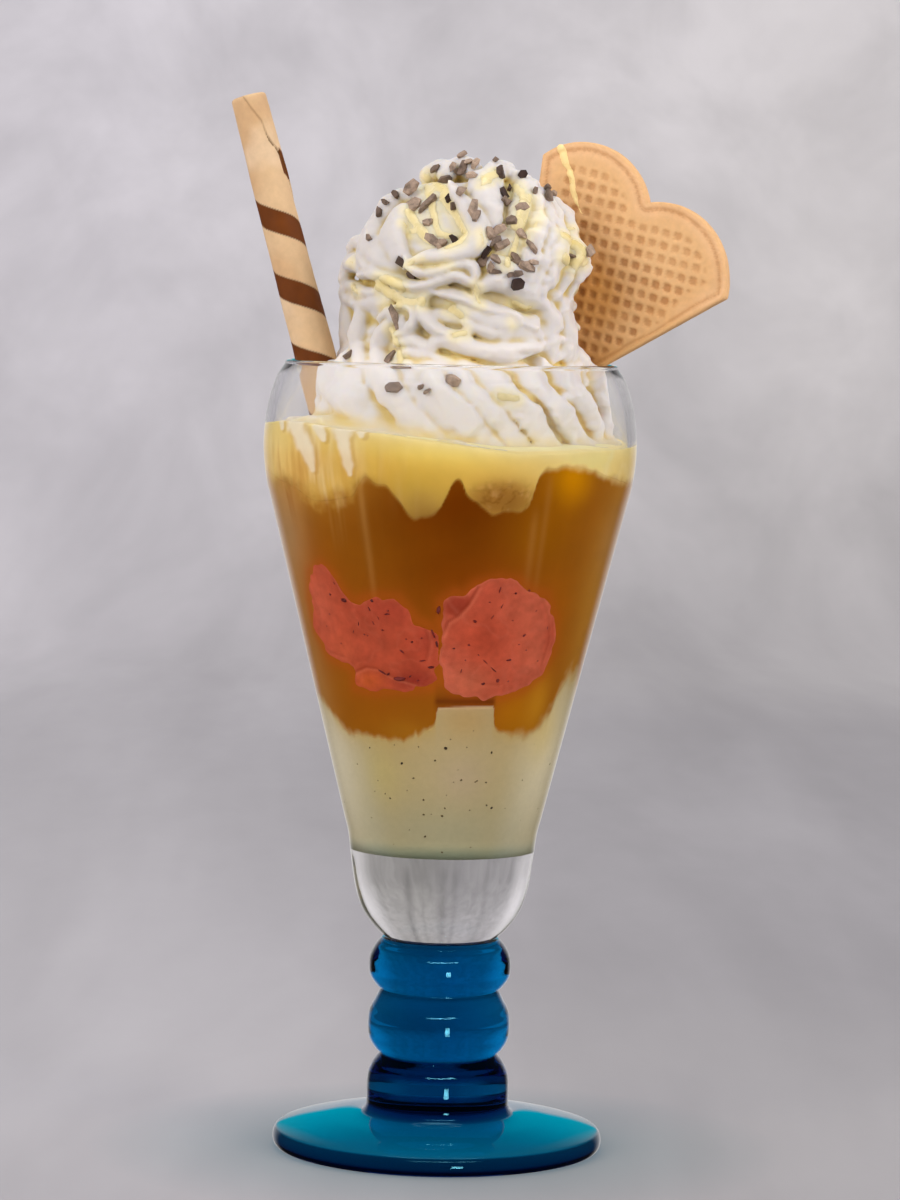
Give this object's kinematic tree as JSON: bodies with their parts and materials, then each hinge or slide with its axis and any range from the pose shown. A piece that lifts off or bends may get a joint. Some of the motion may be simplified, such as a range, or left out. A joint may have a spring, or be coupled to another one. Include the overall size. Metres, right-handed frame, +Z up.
{
  "type": "ice cream sundae",
  "caption": "Ice cream sundae in a clear flared glass on a blue ringed stem: vanilla, strawberry, amber sauce, custard, a piped cream swirl, a striped roll and a heart wafer.",
  "frame": {"origin": "centre of the underside of the glass foot, on the table", "axes": "+Z up along the axis of the glass, +X to the side the heart wafer leans to, -Y towards the viewer who sees the heart's face"},
  "size_m": [0.12, 0.0896, 0.2541],
  "materials": {
    "clear_glass": "clear polished soda glass",
    "blue_glass": "deep turquoise-blue glass, coloured through",
    "vanilla": "soft, moist, pale vanilla ice cream with dark specks",
    "amber": "thick amber-brown fruit sauce, moist",
    "strawberry": "pink strawberry ice cream with dark red seeds",
    "custard": "glossy yellow custard sauce",
    "cream": "soft satin whipped cream",
    "wafer": "dry baked wafer, slightly rough",
    "chocolate": "chopped dark chocolate with a dusty bloom"
  },
  "bodies": {
    "root": {"glass_bowl": "clear_glass", "glass_stem": "blue_glass", "vanilla_ice_cream": "vanilla", "amber_sauce": "amber", "strawberry_scoop_left": "strawberry", "strawberry_scoop_right": "strawberry", "custard_sauce": "custard", "whipped_cream": "cream", "wafer_roll": "wafer", "heart_wafer": "wafer"}
  },
  "joints": []
}
